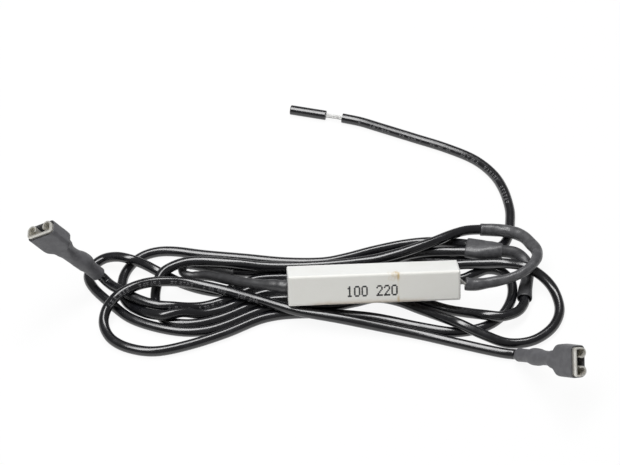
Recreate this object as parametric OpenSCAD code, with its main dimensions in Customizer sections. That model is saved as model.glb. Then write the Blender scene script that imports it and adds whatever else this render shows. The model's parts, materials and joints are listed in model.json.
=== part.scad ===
// Ceramic-cased wirewound power resistor on a wire loom with two tab receptacles.
// X runs along the case, Y points away from the marked face and Z is up.
// The origin is the centre of the case, which leans back on the wires below it.

/* [Case] */
// Length of the ceramic case
case_length = 49; // [44:0.5:54]
// Depth of the case, from the marked face to the back
case_depth = 10; // [9:0.1:10.5]
// Height of the case, from the open base to the roof
case_height = 9; // [8:0.1:9.2]
// Thickness of the marked wall and of the back wall
case_wall = 1.4; // [1:0.1:1.8]
// Thickness of the roof
case_roof = 1.5; // [1:0.1:1.8]
// Thickness of the two end walls
case_end = 2; // [1.2:0.1:2.6]
// Radius of the outer edges
case_edge = 0.8; // [0.3:0.1:1]
// Angle at which the case leans back
case_lean = 27; // [20:1:30]
// Depth of the cement below the rim of the case
cement_recess = 0.4; // [0.2:0.1:0.8]

/* [Element] */
// Length from each end of the rod to the end of the case
rod_margin = 7.5; // [6.5:0.25:10]
// Diameter of the ceramic rod
rod_diameter = 4; // [3:0.1:4.4]
// Diameter of the resistance wire
winding_wire = 0.4; // [0.3:0.05:0.5]
// Number of turns on the rod
winding_turns = 13; // [8:1:16]
// Length of rod that each end cap covers
cap_cover = 3.5; // [2.5:0.1:5]
// Sheet thickness of the end caps
cap_sheet = 0.4; // [0.3:0.05:0.5]

/* [Leads] */
// Diameter of the solid leads
lead_diameter = 0.9; // [0.7:0.05:1.1]
// Clear width on each side of a lead in its end slot
slot_gap = 0.5; // [0.3:0.05:0.7]
// Diameter of the ferrules that join the leads to the wires
ferrule_diameter = 2.2; // [1.8:0.1:2.5]

/* [Wire] */
// Diameter over the insulation of the hook-up wire
wire_diameter = 2.8; // [2.4:0.05:2.8]
// Diameter of one strand of the conductor
strand_diameter = 0.44; // [0.3:0.02:0.46]
// Bare length between the end of the tail and the loose piece of insulation
bare_length = 5.2; // [2:0.1:8]
// Length of the loose piece of insulation
slug_length = 11.1; // [6:0.1:14]

/* [Sleeves] */
// Wall of the heat-shrink sleeves
sleeve_wall = 0.35; // [0.25:0.05:0.4]
// Clearance between a sleeve and what it covers
sleeve_gap = 0.12; // [0.05:0.01:0.16]

/* [Terminals] */
// Width of the tab that a receptacle takes
tab_width = 6.3; // [4.8:0.1:6.5]
// Thickness of the tab
tab_thickness = 0.8; // [0.5:0.05:0.9]
// Clearance on each side of the tab
tab_gap = 0.4; // [0.1:0.05:0.5]
// Sheet thickness of the receptacle
sheet = 0.44; // [0.3:0.02:0.5]
// Length of the rolled receptacle
receptacle_length = 9; // [7:0.1:10]
// Height of the receptacle over its two rolls
receptacle_height = 3.6; // [3.2:0.1:3.8]
// Outer radius of the rolled edges
roll_radius = 1.45; // [1.3:0.05:1.7]
// Width of the neck behind the receptacle
neck_width = 4.1; // [3.4:0.1:4.6]
// Length of the neck
neck_length = 3.6; // [2.6:0.1:4.4]
// Length of the barrel crimped on the strands
wire_crimp = 4.6; // [3.4:0.1:5.2]
// Length of the barrel crimped on the insulation
grip_crimp = 4; // [2.6:0.1:5]
// Length of sleeve on the wire behind the receptacle
sleeve_tail = 6; // [4:0.1:8]

/* [Hidden] */
$fn = 48;
eps = 0.01;

// Case and element
slot_width = lead_diameter + 2 * slot_gap;
rod_length = case_length - 2 * rod_margin;
cavity_length = case_length - 2 * case_end;
cavity_depth = case_depth - 2 * case_wall;
cavity_top = case_height / 2 - case_roof;
cement_base = -case_height / 2 + cement_recess;
cap_diameter = rod_diameter + 2 * cap_sheet;
element_bore = rod_diameter + 2 * max(cap_sheet, winding_wire) + 0.2;
element_length = rod_length + 2 * cap_sheet;
winding_length = rod_length - 2 * cap_cover - 2 * winding_wire;
turn_rings = 10;

// Wire and sleeve radii
lead_r = lead_diameter / 2;
ferrule_r = ferrule_diameter / 2;
wire_r = wire_diameter / 2;
conductor_diameter = 3 * strand_diameter;
strand_r = strand_diameter / 2 - 0.01;
wire_sleeve_r = wire_r + sleeve_gap + sleeve_wall;
ferrule_sleeve_r = max(ferrule_r, wire_r) + sleeve_gap + sleeve_wall;
lead_sleeve_r = lead_r + 0.55 + sleeve_wall;
bend_sleeve_r = lead_r + 0.4 + sleeve_wall;

// Junction, where the two terminal wires meet the link wire
junction_place = [32.1, 16.04, -4.34];
junction_heading = [4.5, -1.2, 0.2];
junction_side = side_of(junction_heading);
junction_pitch = wire_diameter + 0.15;
boot_half_width = junction_pitch / 2 + wire_r + sleeve_gap + sleeve_wall;

// Receptacle stations, measured from the rear end of its sleeve towards the mouth
grip_start = sleeve_tail;
grip_end = grip_start + grip_crimp;
crimp_start = grip_end + 1.2;
crimp_end = crimp_start + wire_crimp;
neck_end = crimp_end + neck_length;
mouth = neck_end + receptacle_length;
inner_half = tab_width / 2 + tab_gap;
outer_half = inner_half + sheet;
half_height = receptacle_height / 2;
corner_r = sheet + 0.3;
roll_center = -half_height + roll_radius;
tab_underside = half_height - sheet - tab_thickness - 0.05;
roll_return = asin((tab_underside - roll_center) / roll_radius) - 1;
barrel_r = conductor_diameter / 2 + 2 * sheet;
grip_r = wire_r + sheet;
link_half = 0.45;

// Where each receptacle's sleeve starts, with its turn, rise and roll
right_place = [39.6, -23.8, -6.6];
right_angles = [66, -35.3, -52.7];
left_place = [-78.4, 10.8, -3.2];
left_angles = [-112.2, -55.9, 196.5];

// Lead and link wire, from the right end of the case round the hank to the junction
right_route = [
    [case_length / 2, 0, 0], [case_length / 2 + 1.7, -0.9, -0.8], [29, -1.1, -1.1], [33.3, -0.5, -1.1],
    [37.7, 0.3, -0.9], [41, 1.3, -0.6], [44, 3.2, -0.5], [46.3, 5.8, -0.7], [47.9, 9.2, -1.3],
    [48.1, 12.7, -2.1], [47, 16.1, -2.9], [45.4, 19.6, -3.6], [43, 22, -4.1], [40.2, 23.3, -4.4],
    [37.3, 23.9, -4.5], [33, 24.1, -4.3],
    [28.5, 23, -3.4], [24, 20.5, -2.4], [18.5, 17.5, -2], [12.5, 15, -2], [6, 13.7, -3],
    [-2, 13.2, -4.5], [-14, 12.5, -4.9], [-29, 12.8, -4.9], [-39, 13.7, -3.9], [-47.5, 15, -3.8],
    [-53, 15.1, -4], [-57.5, 13.8, -4.6], [-60.5, 11.2, -5], [-62, 7.5, -7.1], [-62.2, 2.5, -7.8],
    [-61.3, -1.5, -7.8], [-59, -4.5, -7.8], [-55, -5.8, -7.8], [-49.5, -5.8, -7.8], [-42.5, -3.7, -7.8],
    [-32, 1.4, -7.8], [-24.5, 2.4, -7.8], [-12, 1.9, -7.8], [-5, 3.2, -7.8], [1, 4.5, -7.8],
    [8, 3, -7.8], [14.5, -0.8, -7.8], [20.5, -4, -7.7], [26, -6.7, -6.6], [31, -9.4, -4.95],
    [36, -10.3, -4.9], [40.5, -8, -5.8], [42.8, -4.4, -6.7], [43.4, -1.8, -7.1], [44, 1.8, -7.2],
    [45, 6, -7.2], [45.6, 10.6, -6.9], [44.6, 13.3, -6.2], [42, 15, -5.2], [37.3, 15.42, -4.5]
];
right_ferrule = 11;
right_wire = 13;
right_sleeve_end = 15;
junction_sleeve_start = len(right_route) - 7;

// Lead and tail wire, from the left end of the case to the stripped end behind it
left_route = [
    [-case_length / 2, 0, 0], [-case_length / 2 - 0.4, 0.05, 0], [-28, 0.8, -0.2], [-31.5, 2, -1],
    [-36.5, 4.5, -2.4], [-42, 8, -4.4], [-47, 11.3, -6.2], [-49.8, 12.5, -7.2], [-52, 12.9, -7.5],
    [-53.7, 13.8, -7.6], [-54.4, 15.3, -7.6], [-53.7, 16.9, -7.6], [-52, 17.6, -7.35], [-49, 17, -7.25],
    [-44.5, 15.2, -7.25], [-39, 13.6, -7.28], [-31.5, 13.75, -7.8], [-24.5, 14.1, -7.8], [-12, 13.6, -7.8],
    [0, 16.8, -7.8], [9, 17.4, -7.8], [18, 15.7, -7.8], [25.5, 15, -7.8], [31.5, 16.4, -7.8],
    [36.3, 18.9, -7.8], [39.8, 21.2, -7.8], [41.6, 25, -7.8], [42.6, 30.3, -7.8], [43, 36, -7.8], [42, 44, -7.8],
    [39.5, 51, -7.8], [34.5, 57.5, -7.8], [26.5, 63, -7.8], [17, 68, -7.8], [7, 73.2, -7.8],
    [1.5, 76, -7.8], [-4, 78, -7.8]
];
left_ferrule = 12;
left_wire = 13;
left_sleeve_end = 15;
tail_heading = [-0.96, 0.28, 0];

// Wire from the junction round the hank to the right receptacle
right_terminal_route = [
    junction_place + junction_side * junction_pitch / 2,
    [28.5, 18.5, -4.5], [24, 20.9, -6], [18, 23, -7.5], [10.5, 22.6, -7.8], [1.5, 20.5, -7.8],
    [-7, 17.9, -7.8], [-14, 16.6, -7.8], [-24.5, 17.2, -7.8], [-36, 19.3, -7.8], [-47.5, 21.3, -7.8],
    [-56, 23.2, -7.8], [-61.5, 23.3, -7.8], [-66, 21.5, -7.8], [-69.3, 18, -7.8], [-71.3, 13.5, -7.8],
    [-71.8, 8, -7.8], [-70.6, 3.8, -7.8], [-68, 0.3, -7.2], [-64, -3.2, -5.8], [-59.5, -4.9, -4.85],
    [-54.5, -3.5, -5.4], [-49, -2.7, -7.2], [-42.5, -0.5, -7.8], [-32, 4.6, -7.8], [-24.5, 5.3, -7.8],
    [-12, 4.8, -7.8], [-5, 6.1, -7.8], [1, 7.4, -7.8], [12, 6.8, -7.8], [24.5, 7.3, -7.8],
    [29.8, 9.4, -7.8], [34, 11.2, -7.8], [38, 10, -7.8], [40.3, 6, -7.8], [40.2, 0.8, -7.8],
    [38.2, -4.5, -7.8], [34.8, -9, -7.8], [29.5, -12, -7.8], [22, -13, -7.8], [12.5, -10.5, -7.8],
    [0, -6.3, -7.8], [-12, -4.2, -7.8], [-23, -3.5, -7.8], [-32, -4.9, -7.8], [-42.5, -10, -7.8],
    [-53, -14, -7.8], [-62.5, -16, -7.8], [-70, -14.3, -7.8], [-75, -10.5, -7.7], [-77, -5.3, -7.1],
    [-76, -1, -5.2], [-73, 1.2, -2.6], [-69, 3.6, -2], [-64, 6, -2.6], [-58, 7, -3.4],
    [-51.5, 6.8, -4.5], [-42, 3.9, -4.9], [-32, -0.5, -4.9], [-22, -5, -5], [-10, -8.2, -5.5],
    [1.5, -10.8, -6.8], [12.5, -13.6, -7.7], [24, -17.8, -7.8], [31.7, -20.6, -7.8], [35.8, -21.9, -7.8],
    along(right_place, right_angles, -2), right_place, along(right_place, right_angles, grip_end)
];

// Wire from the junction round the hank to the left receptacle
left_terminal_route = [
    junction_place - junction_side * junction_pitch / 2,
    [28.5, 15.55, -4.5], [22.5, 16.2, -4.9], [16, 16.3, -4.9], [10.5, 15.5, -5], [5, 14.3, -6.3],
    [0, 13.5, -7.6], [-12, 10.7, -7.8], [-24.5, 11.1, -7.8], [-32, 10.8, -7.8], [-37.2, 8.8, -7.8],
    [-42.5, 6.3, -7.8], [-47.5, 7, -7.8], [-54, 9.9, -7.8], [-60.5, 14.6, -7.7], [-65, 16.9, -6.4],
    [-69, 17.8, -4.9], [-73, 19.3, -5.1], [-77, 19.9, -6.4], [-80.3, 17.8, -7.5], [-81.4, 13.8, -7.8],
    [-79.5, 9, -7.8], [-75, 3.2, -7.8], [-69.6, -2.7, -7.8], [-62.5, -6.5, -7.8], [-55, -8.7, -7.8],
    [-48.5, -8.8, -7.8], [-42.5, -6.9, -7.8], [-32, -1.8, -7.8], [-24.5, -0.5, -7.8], [-12, -1, -7.8],
    [-5, 0.2, -7.8], [1, 1.6, -7.8], [7, 0, -7.8], [13, -4, -7.3], [18.5, -8.5, -5.9],
    [23.7, -12.7, -4.8], [30, -16, -6], [37, -18.2, -7.6], [44, -17.5, -7.8], [50, -13, -7.8],
    [53, -6.5, -7.8], [52.5, 0, -7.1], [49.8, 4.3, -5.4], [45, 7.4, -3.6], [39, 10, -4.3],
    [32, 10.8, -4.9], [24, 11, -5.3], [14.5, 10.7, -6.7], [0, 10.3, -7.7], [-12, 7.7, -7.8],
    [-24.5, 8.2, -7.8], [-32, 7.8, -7.8], [-42.5, 2.7, -7.8], [-48, 0.7, -7.7], [-52.5, -0.3, -6.9],
    [-57, -1.2, -5.3], [-62, -0.7, -4.9], [-67.5, 1.9, -4.75], [-71.5, 5.4, -4.8], [-74, 7.9, -5.75], [-75.8, 10.2, -6.2],
    along(left_place, left_angles, -2), left_place, along(left_place, left_angles, grip_end)
];

// Boot over the two wires and the crimp, from the wires to the link wire
boot_route = [
    junction_place - junction_heading * 0.85, junction_place, [35, 15.62, -4.42], [38.6, 15.3, -4.69]
];
crimp_route = [
    junction_place + junction_heading * 0.02, junction_place + junction_heading * 0.25,
    [35, 15.62, -4.42], [37.15, 15.43, -4.49]
];

// Directions
function unit(v) = v / norm(v);
function side_of(heading) = unit(cross([0, 0, 1], heading));
function heading_of(angles) =
    [cos(angles[1]) * cos(angles[2]), cos(angles[1]) * sin(angles[2]), -sin(angles[1])];
function along(place, angles, distance) = place + heading_of(angles) * distance;
function tangent(route, i) =
    unit(route[min(i + 1, len(route) - 1)] - route[max(i - 1, 0)]);

// One ring of points square to a heading: a circle, or a flat oval with round ends
function oval(place, heading, half_width, half_tall, sides) =
    let (side = side_of(heading), rise = cross(heading, side), flat = half_width - half_tall)
    [for (k = [0:sides - 1])
        let (turn = 360 * (k + 0.5) / sides)
        place + side * (half_tall * cos(turn) + flat * sign(cos(turn))) + rise * half_tall * sin(turn)];

// Rings along a stretch of a route, with one pair of half sizes for each ring
function route_rings(route, first, last, sizes, sides) =
    [for (i = [first:last])
        let (size = sizes[min(i - first, len(sizes) - 1)])
        each oval(route[i], tangent(route, i), size[0], size[1], sides)];

// Side faces between rings that follow one another, with the outside facing out
function skin(count, sides, start, outward) =
    [for (i = [0:count - 2], k = [0:sides - 1])
        let (a = start + i * sides + k, b = start + i * sides + (k + 1) % sides)
        outward ? [a, a + sides, b + sides, b] : [a, b, b + sides, a + sides]];

// Flat ring between an outer and an inner ring
function rim(outer, inner, sides, flip) =
    [for (k = [0:sides - 1])
        let (n = (k + 1) % sides)
        flip ? [outer + k, inner + k, inner + n, outer + n]
             : [outer + k, outer + n, inner + n, inner + k]];

// Closed bar through rings
module ring_bar(points, count, sides) {
    start_cap = [for (k = [0:sides - 1]) k];
    end_cap = [for (k = [0:sides - 1]) count * sides - 1 - k];
    polyhedron(points, concat([start_cap, end_cap], skin(count, sides, 0, true)));
}

// Open tube between outer rings and inner rings
module ring_tube(outer, inner, count, sides) {
    total = count * sides;
    polyhedron(
        concat(outer, inner),
        concat(
            skin(count, sides, 0, true),
            skin(count, sides, total, false),
            rim(0, total, sides, false),
            rim(total - sides, 2 * total - sides, sides, true)
        )
    );
}

// Round cord along a stretch of a route
module cord(route, first, last, radius) {
    sides = 8;
    ring_bar(route_rings(route, first, last, [[radius, radius]], sides), last - first + 1, sides);
}

// Sleeve along a stretch of a route, with outer half sizes for each ring
module sleeve(route, first, last, sizes) {
    sides = 12;
    inner_sizes = [for (size = sizes) [size[0] - sleeve_wall, size[1] - sleeve_wall]];
    ring_tube(
        route_rings(route, first, last, sizes, sides),
        route_rings(route, first, last, inner_sizes, sides),
        last - first + 1, sides
    );
}

// Case frame: leaned back about the long axis
module leaned() {
    rotate([-case_lean, 0, 0]) children();
}

// Cylinder along X, centred
module bar_x(diameter, length) {
    rotate([0, 90, 0]) cylinder(d = diameter, h = length, center = true);
}

// Rectangle with round corners, centred
module round_rectangle(width, height, radius) {
    square([width - 2 * radius, height], center = true);
    square([width, height - 2 * radius], center = true);
    for (x = [-1, 1], y = [-1, 1])
        translate([x * (width / 2 - radius), y * (height / 2 - radius)]) circle(radius, $fn = 24);
}

// Slots in the end walls, from the lead down past a given level
module end_slots(width, bottom, length) {
    for (end = [-1, 1]) translate([end * (case_length - case_end) / 2, 0, 0]) {
        bar_x(width, length);
        translate([0, 0, bottom / 2]) cube([length, width, -bottom], center = true);
    }
}

module ceramic_case() {
    color("#e9e4da") leaned() difference() {
        intersection() {
            rotate([90, 0, 90]) linear_extrude(case_length, center = true)
                round_rectangle(case_depth, case_height, case_edge);
            rotate([90, 0, 0]) linear_extrude(case_depth, center = true)
                round_rectangle(case_length, case_height, case_edge);
            linear_extrude(case_height, center = true)
                round_rectangle(case_length, case_depth, case_edge);
        }
        translate([-cavity_length / 2, -cavity_depth / 2, -case_height])
            cube([cavity_length, cavity_depth, case_height + cavity_top]);
        end_slots(slot_width, -case_height, case_end + 1);
    }
}

module cement_fill() {
    color("#cfc8ba") leaned() difference() {
        union() {
            translate([-cavity_length / 2, -cavity_depth / 2, cement_base])
                cube([cavity_length, cavity_depth, cavity_top - cement_base]);
            end_slots(slot_width, cement_base, case_end);
        }
        bar_x(element_bore, element_length + 0.2);
        bar_x(lead_diameter, case_length + 1);
    }
}

module core_rod() {
    color("#f3f1ec") bar_x(rod_diameter, rod_length);
}

module resistance_winding() {
    radius = rod_diameter / 2 + winding_wire / 2 + 0.02;
    count = winding_turns * turn_rings + 1;
    helix = [for (i = [0:count - 1])
        let (turn = 360 * i / turn_rings, share = i / (count - 1) - 0.5)
        [share * winding_length, radius * cos(turn), radius * sin(turn)]];
    color("#8a7f78") ring_bar(winding_rings(helix), count, 6);
}

// Rings of the winding, each in a plane through the long axis
function winding_rings(helix) =
    [for (p = helix, k = [0:5])
        let (out = unit([0, p[1], p[2]]), turn = 60 * k)
        p + out * winding_wire / 2 * cos(turn) + [winding_wire / 2 * sin(turn), 0, 0]];

// Cup pressed on one end of the rod
module end_cap(end) {
    color("#b9bcc0") difference() {
        translate([end * (rod_length / 2 + (cap_sheet - cap_cover) / 2), 0, 0])
            bar_x(cap_diameter, cap_cover + cap_sheet);
        bar_x(rod_diameter, rod_length);
    }
}

module end_cap_left() {
    end_cap(-1);
}

module end_cap_right() {
    end_cap(1);
}

// Lead from the end cap out of the case and along its route to the ferrule
module lead(end, route, last) {
    full_route = concat([[end * element_length / 2, 0, 0]], route);
    color("#c9c9c6") cord(full_route, 0, last + 1, lead_r);
}

module lead_left() {
    lead(-1, left_route, left_ferrule);
}

module lead_right() {
    lead(1, right_route, right_ferrule);
}

module splice_ferrule_left() {
    color("#b8b4a8") cord(left_route, left_ferrule, left_wire, ferrule_r);
}

module splice_ferrule_right() {
    color("#b8b4a8") cord(right_route, right_ferrule, right_wire, ferrule_r);
}

module lead_sleeve_left() {
    color("#232324") sleeve(left_route, 1, left_sleeve_end, concat(
        [for (i = [1:left_ferrule - 6]) [lead_sleeve_r, lead_sleeve_r]],
        [for (i = [left_ferrule - 5:left_ferrule - 1]) [bend_sleeve_r, bend_sleeve_r]],
        [for (i = [left_ferrule:left_sleeve_end]) [ferrule_sleeve_r, ferrule_sleeve_r]]
    ));
}

module lead_sleeve_right() {
    color("#4a4a4d") sleeve(right_route, 1, right_sleeve_end, concat(
        [[lead_sleeve_r + 0.35, lead_sleeve_r + 0.35], [lead_sleeve_r + 0.25, lead_sleeve_r + 0.25]],
        [for (i = [3:right_ferrule - 1]) [lead_sleeve_r, lead_sleeve_r]],
        [for (i = [right_ferrule:right_sleeve_end]) [ferrule_sleeve_r, ferrule_sleeve_r]]
    ));
}

module junction_crimp() {
    color("#b8b4a8") ring_bar(
        route_rings(crimp_route, 0, 3, [
            [junction_pitch / 2 + ferrule_r / 2, ferrule_r],
            [junction_pitch / 2 + ferrule_r / 2, ferrule_r],
            [ferrule_r * 1.2, ferrule_r],
            [ferrule_r, ferrule_r]
        ], 12), 4, 12);
}

module junction_sleeve() {
    color("#47474a")
        sleeve(right_route, junction_sleeve_start, len(right_route) - 1, [
            [wire_sleeve_r + 0.33, wire_sleeve_r], [wire_sleeve_r + 0.2, wire_sleeve_r],
            [wire_sleeve_r, wire_sleeve_r]
        ]);
}

module junction_boot() {
    over_sleeve = wire_sleeve_r + sleeve_gap + sleeve_wall;
    color("#5b5b5f") sleeve(boot_route, 0, 3, [
        [boot_half_width, wire_sleeve_r], [boot_half_width, wire_sleeve_r],
        [boot_half_width * 0.85, over_sleeve], [over_sleeve, over_sleeve]
    ]);
}

module link_wire() {
    color("#151516") cord(right_route, right_wire, len(right_route) - 1, wire_r);
}

module tail_wire() {
    color("#151516") cord(left_route, left_wire, len(left_route) - 1, wire_r);
}

// Moves a receptacle's own frame, with X towards the mouth, to its place
module placed(place, angles) {
    translate(place) rotate(angles) children();
}

// Wire to a receptacle, with its bared conductor in the crimp
module terminal_wire(route, place, angles) {
    color("#151516") {
        cord(route, 0, len(route) - 1, wire_r);
        placed(place, angles) translate([grip_end - eps, 0, 0]) rotate([0, 90, 0])
            cylinder(d = conductor_diameter, h = crimp_end - grip_end);
    }
}

module right_terminal_wire() {
    terminal_wire(right_terminal_route, right_place, right_angles);
}

module left_terminal_wire() {
    terminal_wire(left_terminal_route, left_place, left_angles);
}

// Part of a flat ring between two angles, under 180 degrees
module ring_sector(outer, inner, from, to) {
    reach = outer / cos((to - from) / 2) + 1;
    intersection() {
        difference() {
            circle(outer);
            circle(inner);
        }
        polygon([[0, 0], [reach * cos(from), reach * sin(from)],
            [reach * cos((from + to) / 2), reach * sin((from + to) / 2)], [reach * cos(to), reach * sin(to)]]);
    }
}

// Flat floor on +Y between two folded corners, for a channel of a given outer half width
module folded_floor(half_width) {
    translate([corner_r - half_width, half_height - sheet]) square([2 * (half_width - corner_r), sheet]);
    for (hand = [0, 1]) mirror([hand, 0])
        translate([half_width - corner_r, half_height - corner_r])
            ring_sector(corner_r, corner_r - sheet, -1, 91);
}

// Section of the receptacle: the floor and two rolled edges that press on the tab
module receptacle_section() {
    folded_floor(outer_half);
    for (hand = [0, 1]) mirror([hand, 0]) {
        translate([inner_half, roll_center]) square([sheet, half_height - corner_r - roll_center]);
        translate([outer_half - roll_radius, roll_center]) {
            ring_sector(roll_radius, roll_radius - sheet, -91, 1);
            ring_sector(roll_radius, roll_radius - sheet, -181, -89);
            ring_sector(roll_radius, roll_radius - sheet, -180 - roll_return, -179);
        }
    }
}

// Section of the neck: the same floor between two low walls
module neck_section() {
    folded_floor(neck_width / 2);
    for (hand = [0, 1]) mirror([hand, 0])
        translate([neck_width / 2 - sheet, 0]) square([sheet, half_height - corner_r]);
}

// Turns a section in Y and Z into a length along X
module run_x(from, to) {
    translate([from, 0, 0]) rotate([90, 0, 90]) linear_extrude(to - from) children();
}

// Barrel closed round the axis, with a seam opposite the floor
module crimp_barrel(from, to, outer, inner) {
    difference() {
        translate([(from + to) / 2, 0, 0]) bar_x(2 * outer, to - from);
        translate([(from + to) / 2, 0, 0]) bar_x(2 * inner, to - from + 1);
        translate([from - 1, -0.12, -outer - 1]) cube([to - from + 2, 0.24, outer + 1]);
    }
}

// Folded receptacle: rolled mouth, channel neck and two crimp barrels from one sheet
module receptacle() {
    floor_z = half_height - sheet;
    color("#c8bfa4") {
        difference() {
            run_x(neck_end, mouth) receptacle_section();
            translate([mouth - receptacle_length / 2, 0, 0]) cylinder(d = 1.6, h = half_height + 1);
        }
        run_x(crimp_end, neck_end + eps) neck_section();
        hull() {
            translate([crimp_end, corner_r - neck_width / 2, floor_z]) cube([eps, neck_width - 2 * corner_r, sheet]);
            translate([crimp_end - 0.6, -barrel_r / 2, barrel_r - sheet]) cube([eps, barrel_r, sheet]);
        }
        crimp_barrel(crimp_start, crimp_end - 0.5, barrel_r, conductor_diameter / 2 + 0.02);
        hull() {
            translate([crimp_start, -link_half, barrel_r - sheet]) cube([0.3, 2 * link_half, sheet]);
            translate([grip_end + 0.05, -link_half, grip_r - sheet]) cube([0.3, 2 * link_half, sheet]);
        }
        translate([grip_end - 0.5, -link_half, wire_r + 0.06]) cube([0.8, 2 * link_half, sheet - 0.08]);
        crimp_barrel(grip_start, grip_end, grip_r, wire_r + 0.02);
    }
}

module terminal_left() {
    placed(left_place, left_angles) receptacle();
}

module terminal_right() {
    placed(right_place, right_angles) receptacle();
}

// Corner centres and arcs of one rounded section of a receptacle's sleeve
function sleeve_section(x, half_width, half_tall, corner, corner_points) =
    [for (q = [0:3], k = [0:corner_points - 1])
        let (
            turn = 90 * q + 90 * k / (corner_points - 1),
            cy = (q == 0 || q == 3 ? 1 : -1) * (half_width - corner),
            cz = (q < 2 ? 1 : -1) * (half_tall - corner)
        )
        [x, cy + corner * cos(turn), cz + corner * sin(turn)]];

// Heat-shrink sleeve over a receptacle, from the wire to just behind the mouth
module receptacle_sleeve() {
    cover = sleeve_gap + sleeve_wall;
    wire_size = wire_r + cover;
    grip_size = grip_r + cover;
    crimp_size = max(wire_r, barrel_r) + cover;
    neck_size = neck_width / 2 + cover;
    wide = outer_half + cover;
    tall = half_height + cover;
    soft = corner_r + cover;
    sections = [
        [0, wire_size, wire_size, wire_size],
        [grip_start - 0.8, wire_size, wire_size, wire_size],
        [grip_start - 0.2, grip_size, grip_size, grip_size],
        [grip_end + 0.4, grip_size, grip_size, grip_size],
        [crimp_start + 0.8, crimp_size, crimp_size, crimp_size],
        [crimp_end - 1, crimp_size, crimp_size, crimp_size],
        [crimp_end - 0.2, neck_size, tall, soft],
        [neck_end - 1.4, neck_size, tall, soft],
        [neck_end - 0.1, wide, tall, soft],
        [mouth - 0.7, wide, tall, soft]
    ];
    points_each = 5;
    outer = [for (s = sections) each sleeve_section(s[0], s[1], s[2], s[3], points_each)];
    inner = [for (s = sections)
        each sleeve_section(s[0], s[1] - sleeve_wall, s[2] - sleeve_wall, s[3] - sleeve_wall, points_each)];
    color("#5c5c60") ring_tube(outer, inner, len(sections), 4 * points_each);
}

module terminal_sleeve_left() {
    placed(left_place, left_angles) receptacle_sleeve();
}

module terminal_sleeve_right() {
    placed(right_place, right_angles) receptacle_sleeve();
}

// Frame at the stripped end of the tail, with Z along the bare conductor
module tail_end() {
    turn = atan2(tail_heading[1], tail_heading[0]);
    translate(left_route[len(left_route) - 1]) rotate([0, 0, turn]) rotate([0, 90, 0]) children();
}

// One strand of the conductor, laid in a slow twist round the axis
module strand(start_turn, radius) {
    count = 8;
    sides = 6;
    twist = 200;
    length = bare_length + slug_length;
    rings = [for (i = [0:count - 1])
        let (share = i / (count - 1), turn = start_turn + twist * share)
        each [for (k = [0:sides - 1])
            [radius * cos(turn) + strand_r * cos(-60 * k), radius * sin(turn) + strand_r * sin(-60 * k),
                share * length + 0.05]]];
    ring_bar(rings, count, sides);
}

module stripped_conductor() {
    color("#b98a5a") tail_end() {
        strand(0, 0);
        for (k = [0:5]) strand(60 * k, strand_diameter);
    }
}

module insulation_slug() {
    color("#151516") tail_end() translate([0, 0, bare_length]) difference() {
        cylinder(r = wire_r, h = slug_length);
        translate([0, 0, -1]) cylinder(d = conductor_diameter + 0.1, h = slug_length + 2);
    }
}

ceramic_case();
cement_fill();
core_rod();
resistance_winding();
end_cap_left();
end_cap_right();
lead_left();
lead_right();
splice_ferrule_left();
splice_ferrule_right();
lead_sleeve_left();
lead_sleeve_right();
junction_crimp();
junction_sleeve();
junction_boot();
link_wire();
right_terminal_wire();
left_terminal_wire();
tail_wire();
terminal_left();
terminal_right();
terminal_sleeve_left();
terminal_sleeve_right();
stripped_conductor();
insulation_slug();
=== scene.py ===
"""Dresses a ceramic-cased wirewound resistor that lies on its own folded loom of hook-up wire."""

from __future__ import annotations

import json
import logging
import math
from dataclasses import dataclass, field
from enum import Enum
from typing import Callable, Sequence

import bmesh
import bpy
from mathutils import Matrix, Vector

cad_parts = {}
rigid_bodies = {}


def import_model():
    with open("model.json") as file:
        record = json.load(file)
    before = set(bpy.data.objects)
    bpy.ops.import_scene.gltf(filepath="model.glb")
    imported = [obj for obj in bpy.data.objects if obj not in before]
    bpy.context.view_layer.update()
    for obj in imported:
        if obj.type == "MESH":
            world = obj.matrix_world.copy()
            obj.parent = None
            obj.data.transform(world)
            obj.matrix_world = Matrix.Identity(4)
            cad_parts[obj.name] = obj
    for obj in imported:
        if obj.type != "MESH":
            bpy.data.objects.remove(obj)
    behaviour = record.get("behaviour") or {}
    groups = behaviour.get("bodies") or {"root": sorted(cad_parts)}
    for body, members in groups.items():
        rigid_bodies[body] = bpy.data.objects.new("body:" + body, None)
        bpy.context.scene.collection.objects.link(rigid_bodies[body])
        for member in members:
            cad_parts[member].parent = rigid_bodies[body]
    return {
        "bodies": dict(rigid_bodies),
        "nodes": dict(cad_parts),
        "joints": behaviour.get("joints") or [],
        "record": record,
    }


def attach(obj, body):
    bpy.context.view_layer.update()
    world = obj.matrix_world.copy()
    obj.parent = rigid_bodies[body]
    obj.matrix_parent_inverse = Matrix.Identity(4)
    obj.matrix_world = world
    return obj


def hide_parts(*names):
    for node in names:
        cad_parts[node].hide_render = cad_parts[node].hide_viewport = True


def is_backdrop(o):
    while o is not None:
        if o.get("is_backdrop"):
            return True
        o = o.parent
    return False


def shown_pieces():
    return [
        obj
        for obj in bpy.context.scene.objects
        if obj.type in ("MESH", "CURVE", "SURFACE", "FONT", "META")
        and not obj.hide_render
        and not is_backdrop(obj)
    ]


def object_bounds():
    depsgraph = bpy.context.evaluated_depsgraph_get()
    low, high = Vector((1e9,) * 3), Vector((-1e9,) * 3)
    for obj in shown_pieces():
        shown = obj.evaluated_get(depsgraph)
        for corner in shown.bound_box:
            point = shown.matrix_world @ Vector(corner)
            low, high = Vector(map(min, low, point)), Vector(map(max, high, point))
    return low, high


LOG = logging.getLogger("resistor")
MM = 0.001
IMAGE_WIDTH = 620
BODY = "root"

Point = tuple[float, float, float]
Span = tuple[float, float]

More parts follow.
